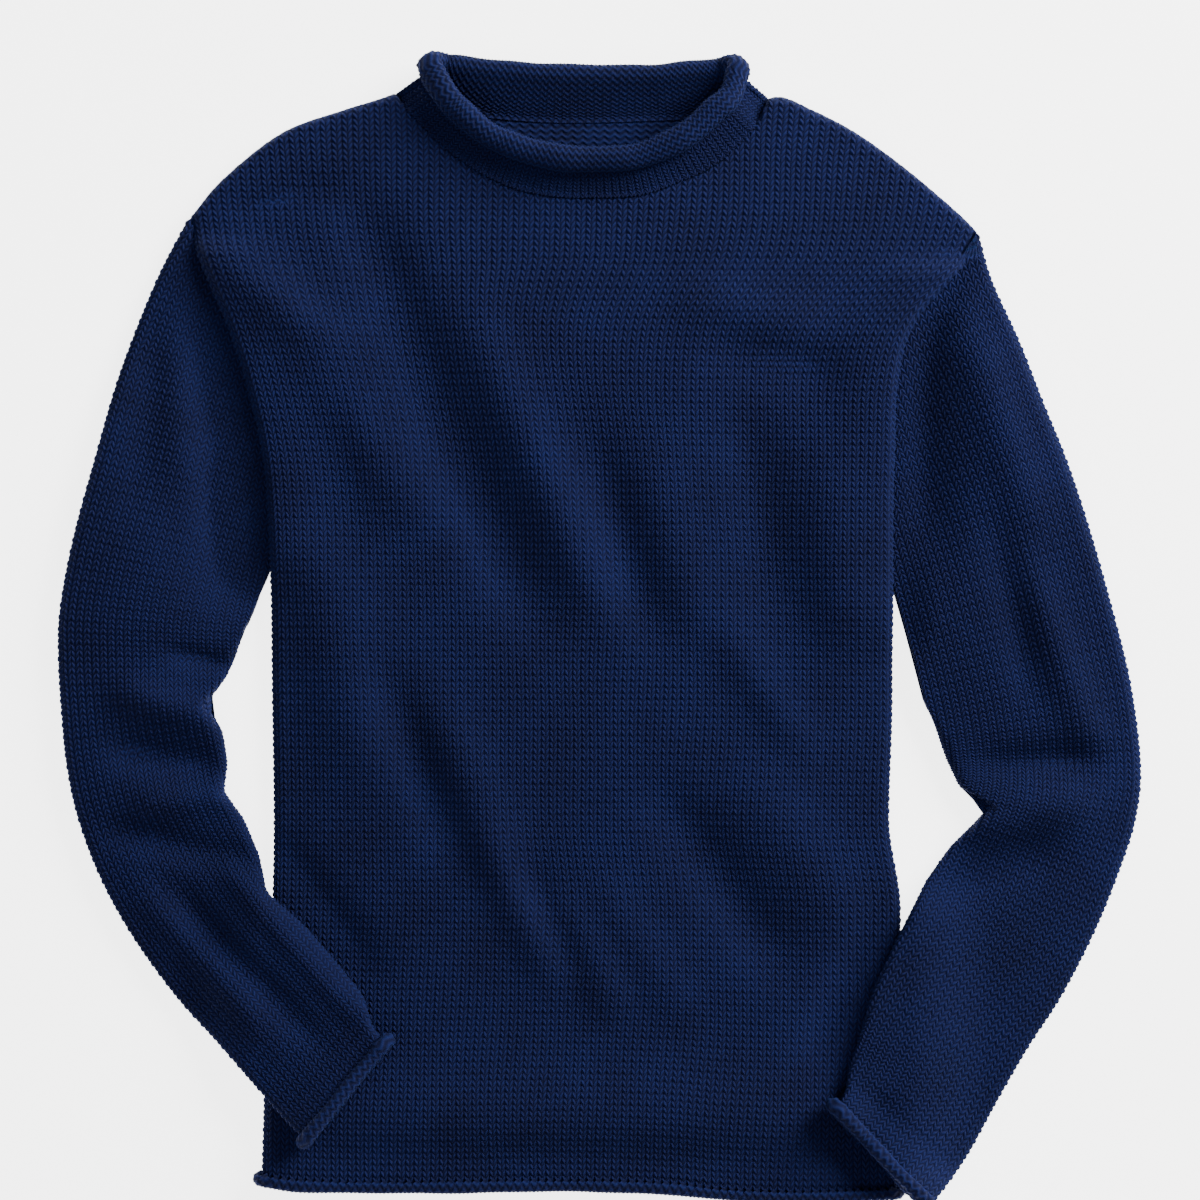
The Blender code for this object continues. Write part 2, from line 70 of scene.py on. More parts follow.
def through(knots, values, x):
    # cubic through the knots. Its slope at a knot is the mean of the two beside it, at most three times the
    # lesser one and 0 where they differ in sign, so that it keeps level where the table does.
    steps = np.diff(knots)
    slopes = np.diff(values) / steps
    tangents = np.concatenate([slopes[:1], (slopes[:-1] + slopes[1:]) / 2, slopes[-1:]])
    limit = 3 * np.minimum(np.abs(slopes[:-1]), np.abs(slopes[1:])) * (slopes[:-1] * slopes[1:] > 0)
    tangents[1:-1] = np.clip(tangents[1:-1], -limit, limit)
    i = np.clip(np.searchsorted(knots, x) - 1, 0, len(steps) - 1)
    t = np.clip((x - knots[i]) / steps[i], 0.0, 1.0)
    rise = values[i + 1] - values[i]
    bend = (1 - t) * (tangents[i] * steps[i] - rise) - t * (tangents[i + 1] * steps[i] - rise)
    return values[i] + rise * t + t * (1 - t) * bend


def softMax(value, least, rounding):
    # half of: value, plus least, plus the square root of their difference squared and the rounding
    return (value + least + np.sqrt((value - least) ** 2 + rounding)) / 2


def folds(tab, x, y):
    # sum of height times exp(-(distance along / length)^4 - (distance across / width)^2)
    total = np.zeros_like(x, dtype=float)
    for foldX, foldY, length, width, bearing, height in zip(*tab.values()):
        cos, sin = np.cos(np.radians(bearing)), np.sin(np.radians(bearing))
        run = (x - foldX) * cos + (y - foldY) * sin
        across = (y - foldY) * cos - (x - foldX) * sin
        total += height * np.exp(-(run / length) ** 4 - (across / width) ** 2)
    return total


def roundEdge(distance, radius):
    # share of the height at a rounded edge: the square root of t(2 - t), t from 0 at the edge to 1
    t = np.clip(distance / radius, 0.0, 1.0)
    return np.sqrt(t * (2.0 - t))


def knitRelief(w, c, depth, rib=0.0):
    # the right side. s runs from 0 in the middle of the wale to 1 at its sides. The two legs are 4s(1 - s)
    # high, times a cosine of the course less chevron times s, so that each stitch is a V. rib deepens the
    # sides. A sine of the numbers of wale and course makes each stitch a little higher or lower.
    s = np.abs(2 * (w % 1.0) - 1)
    leg = 4 * s * (1 - s)
    phase = c - stitch["chevron"] * s
    loop = 0.5 - 0.5 * np.cos(2 * np.pi * phase)
    loop = loop * (1 + stitch["uneven"] * np.sin(12.9 * np.floor(w) + 78.2 * np.floor(phase)))
    legs = leg * (stitch["legLow"] + (1 - stitch["legLow"]) * loop)
    return depth * (legs + stitch["bridge"] * (1 - s) * loop - (stitch["edge"] + rib) * s ** 4)


def purlRelief(w, c, depth):
    # the wrong side: a cosine of the course, which waves from wale to wale, times a cosine of twice the wale
    low = stitch["purlLow"]
    wave = c + stitch["purlSwing"] * np.cos(2 * np.pi * w)
    return depth * (0.5 + 0.5 * np.cos(2 * np.pi * wave)) * (low + (1 - low) * np.cos(4 * np.pi * w))


def calmness(distance, width, least, curled):
    # how much of the relief shows: least at an edge, easing to all of it at width, and little on a curl
    return (least + (1 - least) * ease(distance / width)) * (1 - (1 - stitch["curlCalm"]) * curled)


def knitGrid(wales, courses, perWale, perCourse, before=0.0):
    # w of each column, and c of each point: the row's course plus chevron times s, so that rows follow the V.
    # before says how many courses lie below 0.
    w = np.arange(int(round(wales * perWale)) + 1) / perWale
    rows = np.arange(int(round((courses + before) * perCourse)) + 1)
    s = np.abs(2 * (w % 1.0) - 1)
    return w, rows[:, None] / perCourse - before + stitch["chevron"] * s[None, :]


def normals(grid):
    # the cross product of the two directions of the grid, made one long
    n = np.cross(np.gradient(grid, axis=1), np.gradient(grid, axis=0))
    return n / np.maximum(np.linalg.norm(n, axis=2), 1e-9)[:, :, None]


def curlOver(grid, outward, onward, roll, high, wide):
    # a curled edge: outwards by high times (1 - cos) of the roll, and onwards by wide times its sine
    out, on = high * (1 - np.cos(roll)), wide * np.sin(roll)
    return grid + outward * out[:, :, None] + onward * on[:, :, None]


def wallOf(grid, n, relief, purl, sunk, inside, shift=(0.0, 0.0)):
    # outer face: the form plus its normal times (relief - sunk); inner face: the form less its normal times
    # (inside + purl). shift moves each a little more. Nothing goes below the floor, where stitches lie flat.
    outer = grid + n * (relief - sunk)[:, :, None] + shift[0]
    inner = grid - n * (inside + purl)[:, :, None] + shift[1]
    for face in (outer, inner):
        face[:, :, 2] = np.maximum(face[:, :, 2], 0)
    return outer, inner


def layerWall(grid, w, c, facing, depth, calm):
    # the wall of a laid layer: the right side times calm on its outer face, the wrong side on its inner one
    relief = knitRelief(w, c, depth) * calm
    purl = purlRelief(w, c, stitch["purlDepth"])
    return wallOf(grid, normals(grid) * facing, relief, purl, stitch["sunk"] * depth, stitch["inside"])


def someRows(rows, step, fine):
    # every row where fine is true, and one row in step elsewhere
    chosen = np.zeros(rows, bool)
    chosen[::step] = True
    chosen[fine] = True
    chosen[[0, -1]] = True
    return np.nonzero(chosen)[0]


def cells(points, rows):
    # corners of each cell between a chosen row and the next one, in order round the cell
    low, high = points[rows[:-1]], points[rows[1:]]
    return np.stack([low[:, :-1], low[:, 1:], high[:, 1:], high[:, :-1]], axis=-1).reshape(-1, 4)


def wallQuads(face, behind, innerRows):
    # every row of the outer grid, the chosen rows of the inner one turned over, and the strips at both ends
    parts = [cells(face, np.arange(len(face))), cells(behind, innerRows)[:, ::-1]]
    for row, turn in ((0, 1), (-1, -1)):
        strip = [face[row, 1:], face[row, :-1], behind[row, :-1], behind[row, 1:]]
        parts.append(np.stack(strip, axis=-1)[:, ::turn])
    return np.concatenate(parts)


def sideRings(face, behind, innerRows):
    # one face for each step of the inner rows: it joins the fine side of the outer grid to the coarse one
    rings = []
    for side, turn in ((0, 1), (-1, -1)):
        for a, b in zip(innerRows[:-1], innerRows[1:]):
            ring = np.concatenate([face[a:b + 1, side], [behind[b, side], behind[a, side]]])[::turn]
            ring = ring[ring != np.roll(ring, -1)]
            if len(ring) > 2:
                rings.append(ring)
    return rings


def bakeUv(point, inside, rows, width, innerRows, share):
    # the outer grid fills `share` of the height of the bake's image, and the inner one the rest above a gap
    gap, margin, wide, high = 0.02, 0.005, 0.99, 0.985
    order = np.zeros(rows)
    order[innerRows] = np.arange(len(innerRows))
    row, column = point // width, point % width
    above = share + gap + (1 - gap - share) * order[row] / (len(innerRows) - 1)
    v = np.where(inside, above, share * row / (rows - 1))
    return np.column_stack([margin + wide * column / (width - 1), margin + high * v])


def clothMesh(name, outer, inner, innerRows, rep, w, c, material,
              flip=False, closed=False, share=0.78, joined=None):
    # a closed wall of knit: the outer grid, a coarser inner one made of innerRows, and the edges between
    # them. rep gives each point the point that stands for it where the outline cuts the grid, and a face
    # whose corners fall together keeps one of them. flip turns the faces, closed leaves out the sides of a
    # ring, and joined gives normals to the points where the sheet goes on in another piece.
    rows, width = outer.shape[:2]
    count = rows * width
    own = np.arange(count).reshape(rows, width)
    rep = rep.reshape(rows, width)
    corners = wallQuads(rep, rep + count, innerRows)
    shown = wallQuads(own, own + count, innerRows)
    keep = corners != np.roll(corners, -1, axis=1)
    keep &= keep.sum(axis=1, keepdims=True) > 2
    totals = keep.sum(axis=1)
    totals = totals[totals > 0]
    rings = [] if closed else sideRings(rep, rep + count, innerRows)
    loops = np.concatenate([corners[keep], *rings])
    loopOwn = np.concatenate([shown[keep], *rings])
    totals = np.concatenate([totals, [len(ring) for ring in rings]]).astype(int)
    if flip:
        # a corner goes to: twice the end of its face, less the face's count, less 1, less its own number
        order = np.repeat(2 * np.cumsum(totals) - totals - 1, totals) - np.arange(len(loops))
        loops, loopOwn = loops[order], loopOwn[order]

    used, packed = np.unique(loops, return_inverse=True)
    points = np.concatenate([outer.reshape(-1, 3), inner.reshape(-1, 3)])[used] * mm
    mesh = bpy.data.meshes.new(name)
    mesh.vertices.add(len(points))
    mesh.vertices.foreach_set("co", points.ravel())
    mesh.loops.add(len(packed))
    mesh.loops.foreach_set("vertex_index", packed.astype(np.int32))
    mesh.polygons.add(len(totals))
    mesh.polygons.foreach_set("loop_start", (np.cumsum(totals) - totals).astype(np.int32))
    mesh.update(calc_edges=True)
    mesh.validate()
    mesh.shade_smooth()
    if joined is not None:
        shading = np.concatenate([joined.reshape(-1, 3), np.zeros((count, 3))])
        mesh.normals_split_custom_set_from_vertices(shading[used])

    point = loopOwn % count
    knitUv = np.column_stack([np.tile(w, rows), c.ravel()])[point]
    atlas = bakeUv(point, loopOwn >= count, rows, width, innerRows, share)
    for label, uv in (("knit", knitUv), ("OFBake", atlas)):
        mesh.uv_layers.new(name=label).data.foreach_set("uv", uv.astype(np.float32).ravel())
    wrongSide = mesh.attributes.new("wrongSide", "FLOAT", "POINT")
    wrongSide.data.foreach_set("value", (used >= count).astype(np.float32))
    mesh.materials.append(material)
    piece = bpy.data.objects.new(name, mesh)
    bpy.context.scene.collection.objects.link(piece)
    print(name, "points", len(points), "triangles", int((totals - 2).sum()))
    return piece


def place(piece, node):
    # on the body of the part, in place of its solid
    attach(piece, "root")
    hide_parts(node)


yarn = dict(
    light=(0.0058, 0.0104, 0.064, 1.0), dark=(0.0005, 0.0009, 0.0090, 1.0),  # top and bottom of a stitch; the bottom's darker colour is painted shade in the grooves
    bump=0.8,                                  # height of the drawn stitch
    grooveShade=0.62, mottle=0.5,                 # painted shade by the stitch's height, and real tone from the strands and patches
    plies=0.07,                                # height of the plies in a leg
    fuzz=1500.0, strands=420.0, patches=26.0,  # scales of the noises, to a metre
    sheen=(0.06, 0.14, 0.50, 1.0))


def yarnMaterial(name):
    # navy cotton. Its height is a leg times a loop, as in the relief, with three plies to a course on the
    # right side, and a cosine of the waving course on the wrong side, in the knit's own coordinates. Its
    # colour is a factor times that height, painted shade that darkens the grooves between legs and bumps,
    # plus the real mottle.
    material = bpy.data.materials.new(name)
    material.use_nodes = True
    nodes, links = material.node_tree.nodes, material.node_tree.links
    shader = nodes["Principled BSDF"]

    def calc(kind, *values):
        # one sum of numbers or sockets
        node = nodes.new("ShaderNodeMath")
        node.operation = kind
        for socket, value in zip(node.inputs, values):
            if isinstance(value, (int, float)):
                socket.default_value = value
            else:
                links.new(value, socket)
        return node.outputs[0]

    def noise(scale, detail):
        # a noise in the sweater's own coordinates
        node = nodes.new("ShaderNodeTexNoise")
        node.inputs["Scale"].default_value = scale
        node.inputs["Detail"].default_value = detail
        links.new(coords, node.inputs["Vector"])
        return node.outputs["Fac"]

    uv = nodes.new("ShaderNodeUVMap")
    uv.uv_map = "knit"
    split = nodes.new("ShaderNodeSeparateXYZ")
    links.new(uv.outputs[0], split.inputs[0])
    w, c = split.outputs[0], split.outputs[1]
    side = nodes.new("ShaderNodeAttribute")
    side.attribute_name = "wrongSide"
    coords = nodes.new("ShaderNodeTexCoord").outputs["Object"]

    s = calc("ABSOLUTE", calc("MULTIPLY_ADD", calc("FRACT", w), 2.0, -1.0))
    leg = calc("MULTIPLY", calc("MULTIPLY", s, calc("SUBTRACT", 1.0, s)), 4.0)
    phase = calc("MULTIPLY_ADD", s, -stitch["chevron"], c)
    loop = calc("MULTIPLY_ADD", calc("COSINE", calc("MULTIPLY", phase, 2 * np.pi)), -0.5, 0.5)
    plies = calc("MULTIPLY", calc("SINE", calc("MULTIPLY", phase, 6 * np.pi)), yarn["plies"])
    right = calc("ADD", calc("MULTIPLY", calc("POWER", leg, 0.7), calc("POWER", loop, 0.6)), plies)
    swing = calc("COSINE", calc("MULTIPLY", w, 2 * np.pi))
    wave = calc("MULTIPLY_ADD", swing, stitch["purlSwing"], c)
    wrong = calc("MULTIPLY_ADD", calc("COSINE", calc("MULTIPLY", wave, 2 * np.pi)), 0.5, 0.5)
    mix = nodes.new("ShaderNodeMix")
    links.new(side.outputs["Fac"], mix.inputs[0])
    links.new(right, mix.inputs[2])
    links.new(wrong, mix.inputs[3])
    height = mix.outputs[0]
    fuzz = noise(yarn["fuzz"], 3.0)
    patches = noise(yarn["patches"], 3.0)
    strands = noise(yarn["strands"], 2.0)

    mottle = calc("MULTIPLY_ADD", patches, yarn["mottle"], -0.3)
    mottle = calc("MULTIPLY_ADD", strands, yarn["mottle"], mottle)
    # painted shade: the colour darkens with the stitch's height, darkest in the grooves; the mottle adds real
    # random tone
    shadeAndMottle = calc("MULTIPLY_ADD", height, yarn["grooveShade"], mottle)
    ramp = nodes.new("ShaderNodeMix")
    ramp.data_type = "RGBA"
    ramp.clamp_factor = True
    links.new(shadeAndMottle, ramp.inputs[0])
    ramp.inputs[6].default_value = yarn["dark"]
    ramp.inputs[7].default_value = yarn["light"]
    links.new(ramp.outputs[2], shader.inputs["Base Color"])
    links.new(calc("MULTIPLY_ADD", fuzz, 0.16, 0.80), shader.inputs["Roughness"])
    shader.inputs["Metallic"].default_value = 0.0
    shader.inputs["Specular IOR Level"].default_value = 0.12
    shader.inputs["Sheen Weight"].default_value = 0.10
    shader.inputs["Sheen Roughness"].default_value = 0.45
    shader.inputs["Sheen Tint"].default_value = yarn["sheen"]
    bump = nodes.new("ShaderNodeBump")
    bump.inputs["Strength"].default_value = 0.9
    bump.inputs["Distance"].default_value = yarn["bump"] * mm
    links.new(calc("MULTIPLY_ADD", fuzz, 0.35, height), bump.inputs["Height"])
    links.new(bump.outputs[0], shader.inputs["Normal"])
    return material


navy = yarnMaterial("navyKnit")
print("yarn made")


# The body: front and back have one outline, a curled hem, and sides that turn to meet at the seams.
body = dict(
    wales=78, courses=186,              # stitches across, and up to past the shoulders
    wander=0.7,                         # how far the wales stray sideways
    hemLevel=-337.5, hemBlend=220.0,    # courses follow the hem line, and run level from this far above it
    hemTurn=275.0, hemRadius=1.5,       # the hem's curl
    hemRise=38.0, hemDrop=4.5,          # the body climbs by hemDrop from hemRise above the hem down to it
    sideSeam=4.9, seamRoom=0.15,        # height of the side seams, and half the room between the two panels
    frontTurn=6.5, backTurn=4.2,        # radii of the turned sides
    frontFlat=10.6, least=6.8,          # height of the front, and the lowest that a fold may press it
    crown=3.6, crownRise=90.0,          # its crown across, which starts above the hem
    soften=3.0,                         # rounding where a fold comes down to the least height
    armpit=(36.0, -1.0), tips=(251.0, 238.0),  # y of the armholes' ends, left and right
    pitEase=(24.0, 44.0), tipEase=(6.0, 18.0),  # where and over what way an armhole's shape sets in and ends
    armholeLift=7.5, sleeveHead=10.9,   # room for a sleeve head, and the height of its edge with a gap
    liftFrom=0.70, liftOver=0.25,       # part of the half width where the front rises beside it
    neckEase=11.0,                      # width of the change from shoulder to neckline
    lipWidth=2.5, lipDrop=1.6,          # the front's upper edge bends down to the seam
    depth=1.15,                         # relief of the stitches
    calmWidth=3.5, calmLeast=0.2,       # the upper edge where they grow flat, and how much is left there
    frontFine=(4, 3), backFine=(4, 2),  # points to a wale and to a course
    frontInner=27, backKept=4, backInner=5,  # one row in so many for the insides, and for the back's outside
    yokeFrom=567.0)                     # above this height from the hem the back keeps every row

bodySides = table(
    "y left right",
    (-340, -205, 180), (-285, -204, 181), (-225, -201, 183), (-170, -199, 183), (-115, -198, 176),
    (-42, -199, 178), (36, -200, 178), (67, -201, 178), (109, -205, 179), (152, -215, 181),
    (188, -227, 192), (206, -235, 207), (223, -242, 222), (239, -247, 229), (291, -253, 237),
    (346, -259, 244))
leftShoulder = table(
    "x y",
    (-253, 247), (-244, 258), (-237, 267), (-218, 285), (-191, 304), (-159, 316), (-137, 323), (-125, 327))
rightShoulder = table(
    "x y",
    (103, 324), (109, 325), (130, 317), (155, 304), (182, 285), (204, 267), (224, 249), (234, 238))
hem = table(
    "x y",
    (-205, -333), (-182, -336), (-121, -337), (-31, -336), (46, -338), (73, -341), (122, -343), (182, -341))
neckFront = table(
    "x y rimX rimY rise",
    (-125, 327, -101, 341, 13), (-116, 316, -95, 328, 14), (-110, 310, -90, 321, 15),
    (-96, 296, -81, 312, 15), (-81, 284, -68, 301, 15), (-66, 275, -56, 295, 14), (-46, 267, -39, 289, 14),
    (-12, 263, -11, 285, 14), (21, 264, 17, 286, 14), (49, 273, 39, 293, 14), (68, 282, 55, 302, 15),
    (86, 297, 69, 315, 15), (97, 310, 78, 324, 14), (103, 324, 82, 339, 13))
neckBack = table(
    "x y rimX rimY rise",
    (-125, 327, -101, 341, 13), (-100, 319, -87, 340, 13), (-68, 314, -60, 337, 13), (-18, 311, -18, 334, 13),
    (25, 312, 25, 334, 13), (61, 314, 54, 336, 13), (88, 319, 73, 338, 13), (103, 324, 82, 339, 13))
frontFolds = table(
    "x y length width bearing height",
    (-124, 200, 62, 19, -69, -6.5), (-74, 79, 85, 19, -65, -7.4), (-155, 140, 80, 20, -58, 6.2),
    (-36, 97, 100, 17, -66, 6.2), (12, 60, 65, 16, -72, -5.6), (46, 55, 60, 18, -74, 3.2),
    (98, 70, 65, 20, -80, -5.2), (140, 50, 70, 22, -82, 5.0), (96, 190, 48, 18, -14, 3.8),
    (108, 163, 40, 18, -10, -3.6), (-191, 197, 50, 15, -33, 4.6), (-192, 262, 32, 10, 18, -3.2),
    (-154, -24, 72, 28, -77, 7.2), (-112, -76, 60, 15, -68, -5.4), (-78, -92, 55, 17, -67, 4.8),
    (-49, -166, 50, 14, -65, 5.2), (-28, -176, 40, 12, -62, -4.0), (-8, -196, 42, 15, -59, 5.2),
    (25, -192, 50, 15, -57, 3.6), (74, -152, 66, 18, -55, -6.6), (122, -136, 60, 22, -55, 4.2),
    (100, -36, 45, 14, -57, 3.4), (-172, -173, 52, 18, -52, -8.5), (150, -214, 50, 13, 67, -5.0),
    (-20, -297, 175, 29, 0, 9.0), (160, -306, 26, 12, 60, -5.0))


def leftSide(y):
    # x of the body's left side: the curve through the table
    return through(bodySides["y"], bodySides["left"], y)


def rightSide(y):
    # x of the body's right side: the curve through the table
    return through(bodySides["y"], bodySides["right"], y)


def acrossBody(u, y):
    # x of the stitch column u, -1 at the left side and 1 at the right: the mix of both sides
    return leftSide(y) * (1 - u) / 2 + rightSide(y) * (1 + u) / 2


def hemLine(x):
    # y of the hem: the curve through the table
    return through(hem["x"], hem["y"], x)


def topLine(x, neck):
    # y of the upper edge: left shoulder, neckline and right shoulder, each the curve through its table
    y = through(neck["x"], neck["y"], x)
    y = np.where(x < neck["x"][0], through(leftShoulder["x"], leftShoulder["y"], x), y)
    return np.where(x > neck["x"][-1], through(rightShoulder["x"], rightShoulder["y"], x), y)


def armhole(u, y):
    # 1 beside a sleeve head, easing to 0 round the armpit and before the shoulder tip
    windows = []
    (pitAt, pitWay), (tipAt, tipWay) = body["pitEase"], body["tipEase"]
    for armpit, tip in zip(body["armpit"], body["tips"]):
        windows.append(ease((y - armpit + pitAt) / pitWay) * ease((tip - tipAt - y) / tipWay))
    return np.where(u < 0, windows[0], windows[1])


def outsideNeck(x):
    # 1 past the ends of the neckline, easing to 0 inside them
    return 1 - ease(np.minimum(x - neckFront["x"][0], neckFront["x"][-1] - x) / body["neckEase"])


def hemClimb(x, y):
    # hemDrop at the hem, easing to 0 at hemRise above it
    return body["hemDrop"] * ease((hemLine(x) + body["hemRise"] - y) / body["hemRise"])


def frontHeight(x, y):
    # the sum of the flat height, a crown of 1 - u^4 across the body, the room over the sleeve heads and the
    # folds, kept softly above the least height, and the climb onto the hem
    u = np.clip((2 * x - leftSide(y) - rightSide(y)) / (rightSide(y) - leftSide(y)), -1, 1)
    aboveHem = y - hemLine(x)
    crown = body["crown"] * (1 - u ** 4) * ease(aboveHem / body["crownRise"])
    room = body["armholeLift"] * armhole(u, y) * ease((np.abs(u) - body["liftFrom"]) / body["liftOver"])
    soft = folds(frontFolds, x, y) * ease(aboveHem / body["hemRise"])
    return hemClimb(x, y) + softMax(body["frontFlat"] + crown + room + soft, body["least"], body["soften"])


def bodyPanel(neck, turn, facing, points):
    # a panel from its curled hem up. Columns keep their distance along the cloth, also round the turned
    # sides, which are quarter circles. Rows keep theirs from the hem up, and stop at the upper edge.
    curlRadius = body["hemRadius"] + halfThick
    curl = np.radians(body["hemTurn"])
    before = np.ceil(curl * curlRadius / stitch["course"] * 3) / 3  # in thirds of a course
    w, c = knitGrid(body["wales"], body["courses"], *points, before)
    run = w * stitch["wale"]
    inward = np.minimum(run, run[-1] - run)
    angle = np.clip(inward / turn, 0, np.pi / 2)
    distance = turn * (1 - np.cos(angle)) + np.maximum(inward - turn * np.pi / 2, 0)
    u = np.where(run < run[-1] / 2, -1, 1) * (1 - distance / distance.max())
    u = np.broadcast_to(u, c.shape)

    # each column's own foot and top, found by going back and forth between x and y
    foot = np.full(c.shape, -330.0)
    top = np.full(c.shape, 280.0)
    for _ in range(8):
        foot = hemLine(acrossBody(u, foot))
        top = topLine(acrossBody(u, top), neck)
    up = c * stitch["course"]
    y = foot + (body["hemLevel"] - foot) * ease(up / body["hemBlend"]) + np.maximum(up, 0)
    first = np.argmax(y >= top, axis=0)
    y = np.minimum(y, top)
    x = acrossBody(u, y)
    x = x + body["wander"] * (1 - u ** 4) * (np.sin(y / 37 + 4 * u) + 0.6 * np.sin(y / 16 + 11 * u))

    # height: from the seam's level at the sides and shoulders to the front's height, or flat on the floor
    shape = np.minimum(np.sin(angle), 1 - outsideNeck(x) * (1 - roundEdge(top - y, turn)))
    if facing > 0:
        ground = body["sideSeam"] + body["seamRoom"] + hemClimb(x, y)
        ground = ground + (body["sleeveHead"] - body["sideSeam"]) * armhole(u, y)
        lip = 1.0 - roundEdge(top - y, body["lipWidth"])
        z = ground + (frontHeight(x, y) - ground) * shape - body["lipDrop"] * lip * (1 - outsideNeck(x))
    else:
        z = hemClimb(x, y) + (body["sideSeam"] - body["seamRoom"]) * (1 - shape)

    # the curl goes outwards and down, with a radius that waves make uneven
    roll = np.clip(-up / curlRadius, 0, curl)
    radius = body["hemRadius"] * (1 + 0.14 * np.sin(x / 17.0) + 0.10 * np.sin(x / 7.3 + 1.0))
    sideways = np.sign(u) * np.cos(angle)
    outward = np.dstack([sideways, 0 * x, np.broadcast_to(facing * np.sin(angle), c.shape)])
    grid = curlOver(np.dstack([x, y, z]), outward, np.array([0.0, -1.0, 0.0]), roll, radius, radius)
    rows, width = c.shape
    rep = np.minimum(np.arange(rows)[:, None], first[None, :]) * width + np.arange(width)
    return w, c, grid, rep, roll > 0, calmness(top - y, body["calmWidth"], body["calmLeast"], roll > 0)


# The front is one sheet, shown in two halves that meet on a column and share its normals.
w, c, grid, rep, curled, calm = bodyPanel(neckFront, body["frontTurn"], 1, body["frontFine"])
outer, inner = layerWall(grid, w, c, 1, body["depth"], calm)
rows = someRows(len(c), body["frontInner"], curled.any(axis=1))
middle = (len(w) - 1) // 2
ofWhole = normals(outer) * (np.abs(np.arange(len(w)) - middle) < 3)[None, :, None]
for name, cut in (("frontLeft", slice(0, middle + 1)), ("frontRight", slice(middle, len(w)))):
    wide = len(w[cut])
    ownRep = rep[:, cut] // len(w) * wide + np.arange(wide)
    piece = clothMesh(name, outer[:, cut], inner[:, cut], rows, ownRep, w[cut], c[:, cut], navy,
                      joined=ofWhole[:, cut])
    place(piece, "front")
print("front made")

# The back's flat underside has a row to each second course; the curl, the shoulders and the neck keep theirs.
w, c, grid, rep, curled, calm = bodyPanel(neckBack, body["backTurn"], -1, body["backFine"])
outer, inner = layerWall(grid, w, c, -1, body["depth"], calm)
fine = curled.any(axis=1) | (c[:, 0] * stitch["course"] > body["yokeFrom"])
kept = someRows(len(c), body["backKept"], fine)
rep = np.searchsorted(kept, rep[kept] // len(w)) * len(w) + np.arange(len(w))
rows = someRows(len(kept), body["backInner"], fine[kept])
back = clothMesh("backKnit", outer[kept], inner[kept], rows, rep, w, c[kept], navy, flip=True, share=0.7)
place(back, "back")
print("back made")


# The sleeves: flat tubes that start at the armholes, rest beside the body and lie with their cuffs on it.
sleeveSet = dict(
    halfWales=26,                       # wales in each layer, at the widest
    flatten=0.82, dome=0.22,            # share of the table's height, and how much more it has in the middle
    least=6.4, soften=1.5,              # the lowest that a fold may press it, and the rounding there
    foldShare=0.9, reachShare=0.35,     # radius of the outer fold: of half the height, at most of the width
    headHeight=9.6, headBlend=26.0,     # height at the armhole, and the way to the full one
    tuck=3.6, tuckEase=(12.0, 18.0),    # the upper layer goes under the front's edge, not so at the ends
    closeEase=(20.0, 40.0),             # from here on past the armpit the underarm seam closes
    drop=6.0, gap=1.5,                  # lift of the cuff, and room over the body
    ramp=52.0, rampRoom=4.0,            # the slope up to the body, and how far outside its edge it ends
    hemNear=(20.0, 12.0), pastHem=(12.0, 28.0),  # the rise over the body's hem, and the fall past it
    curlRadius=1.5, curlTurn=275.0,     # the curl of the cuff
    chord=45.0, squareCuff=120.0,       # half the chord that gives the bearing, and the turn to the cuff
    cuffBlend=30.0,                     # the last stretch before the cuff
    widest=140.0, armholeGap=0.5,       # the search for the armhole and the seam, and the gap to the first
    depth=1.15,                         # relief of the stitches
    calmWidth=3.0, calmLeast=0.3,       # the seam where they grow flat, and how much is left there
    fine=(4, 3), innerStep=18)          # points to a wale and a course, and one row in so many for the inside

leftSleeve = table(
    "outerX outerY innerX innerY height over",
    (-250, 251, -200, 36, 10.6, 0), (-270, 212, -206, 25, 14, 0), (-291, 158, -210, 12, 18, 0),
    (-307, 103, -216, 0, 20, 0), (-320, 55, -221, -16, 20, 0), (-328, 12, -227, -30, 19, 0),
    (-329, -18, -239, -46, 17, 0), (-327, -52, -229, -63, 17, 0), (-324, -82, -226, -82, 17, 0),
    (-317, -115, -228, -99, 16, 0), (-303, -152, -216, -116, 15, 0), (-283, -188, -206, -138, 14, 0.5),
    (-256, -225, -201, -160, 13, 1), (-233, -249, -179, -179, 12, 1), (-215, -268, -158, -203, 12, 1),
    (-194, -291, -139, -226, 11, 1), (-177, -307, -129, -248, 10.5, 1))
rightSleeve = table(
    "outerX outerY innerX innerY height over",
    (230.3, 242.5, 178, -1, 10.6, 0), (239, 212, 181, -8, 14, 0), (255, 176, 185, -18, 18, 0),
    (269, 140, 191, -29, 20, 0), (284, 103, 197, -42, 20, 0), (298, 61, 204, -58, 19, 0),
    (312, 12, 210, -77, 18, 0), (323, -33, 219, -97, 17, 0), (329, -82, 238, -107, 17, 0),
    (326, -115, 226, -120, 16, 0), (316, -147, 212, -134, 15, 0), (301, -184, 197, -154, 14, 0.5),
    (281, -223, 178, -190, 13, 1), (261, -254, 164, -220, 12, 1), (243, -285, 156, -249, 12, 1),
    (222, -322, 147, -274, 11, 1), (199, -347, 142, -287, 10.5, 1))
leftSleeveFolds = table(
    "x y length width bearing height",
    (-275, 128, 55, 14, 84, -4.0), (-251, 121, 70, 13, -84, 4.5), (-225, 112, 95, 34, -80, -14.0),
    (-216, 58, 42, 32, -85, -8.0), (-237, -19, 24, 7, -10, -5.5), (-260, -45, 33, 12, -15, 8.5),
    (-264, -77, 32, 12, -8, -8.5), (-249, -103, 33, 10, 5, 6.0), (-252, -131, 46, 10, -12, -5.4),
    (-182, -191, 65, 9, -48, 5.4), (-215, -203, 65, 10, -45, -5.4), (-240, -200, 60, 11, -48, 4.4))
